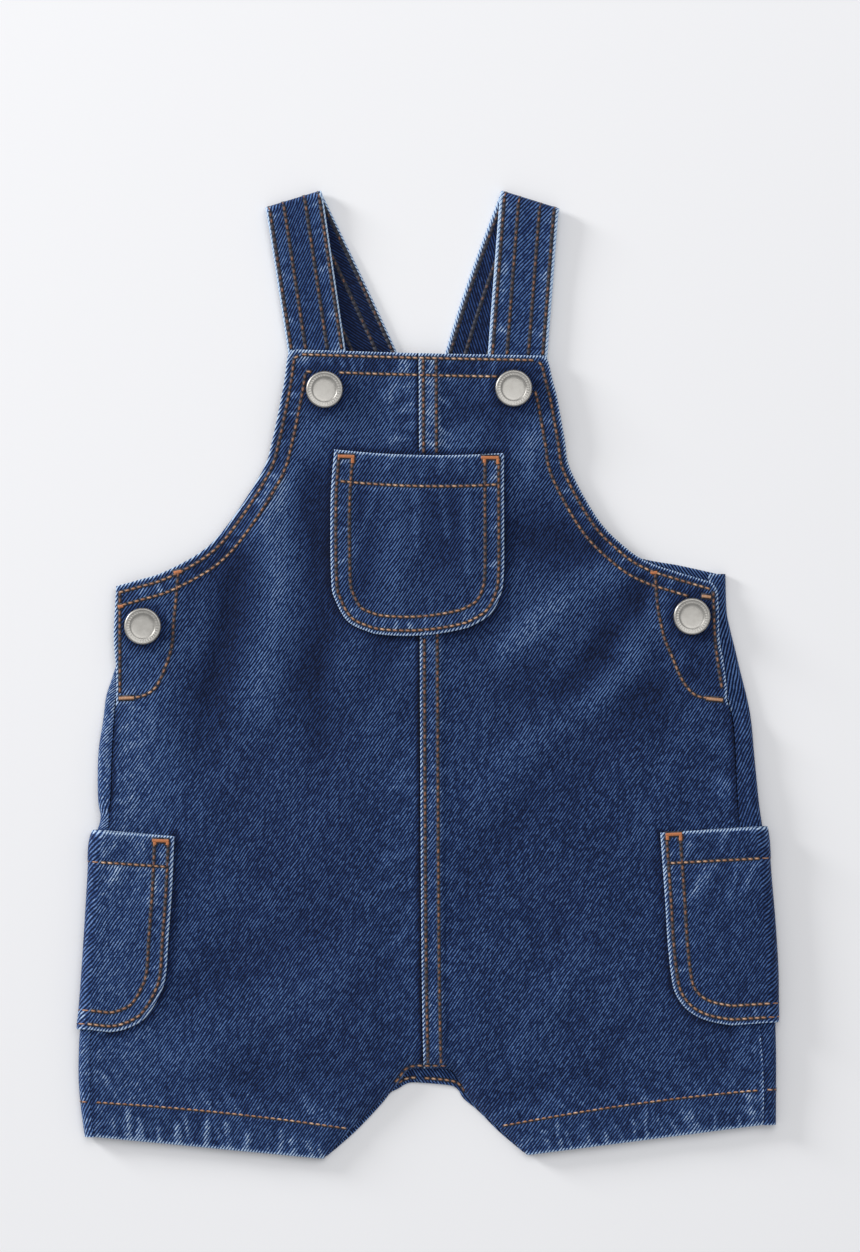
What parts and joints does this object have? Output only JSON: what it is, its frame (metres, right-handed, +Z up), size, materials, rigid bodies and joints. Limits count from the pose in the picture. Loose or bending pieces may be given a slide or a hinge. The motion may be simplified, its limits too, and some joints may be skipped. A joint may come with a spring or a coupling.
{
  "type": "kids dungarees",
  "caption": "Short denim dungarees for a baby, laid flat: bib with patch pocket, folded shoulder straps with press studs, side plackets, side pockets and hemmed legs.",
  "frame": {"origin": "middle of the garment's outline, on the surface it lies on", "axes": "+X to the right of someone looking down at the front, +Y from the legs towards the shoulders, +Z up out of the front"},
  "size_m": [0.2883, 0.3976, 0.0086],
  "materials": {
    "denim": "washed indigo twill, pale worn edges",
    "strap_denim": "double layer of indigo twill, four rows of stitching",
    "topstitch": "rust and tan topstitching thread",
    "press_stud": "dull nickel"
  },
  "bodies": {
    "root": {"front_left": "denim", "front_right": "denim", "back_left": "denim", "back_right": "denim", "underlap_left": "denim", "underlap_right": "denim", "bib_pocket": "denim", "side_pocket_left": "denim", "side_pocket_right": "denim", "strap_left": "strap_denim", "strap_right": "strap_denim", "stud_cap_bib_left": "press_stud", "stud_cap_bib_right": "press_stud", "stud_cap_side_left": "press_stud", "stud_cap_side_right": "press_stud", "stud_base_bib_left": "press_stud", "stud_base_bib_right": "press_stud", "stud_base_side_left": "press_stud", "stud_base_side_right": "press_stud"}
  },
  "joints": []
}
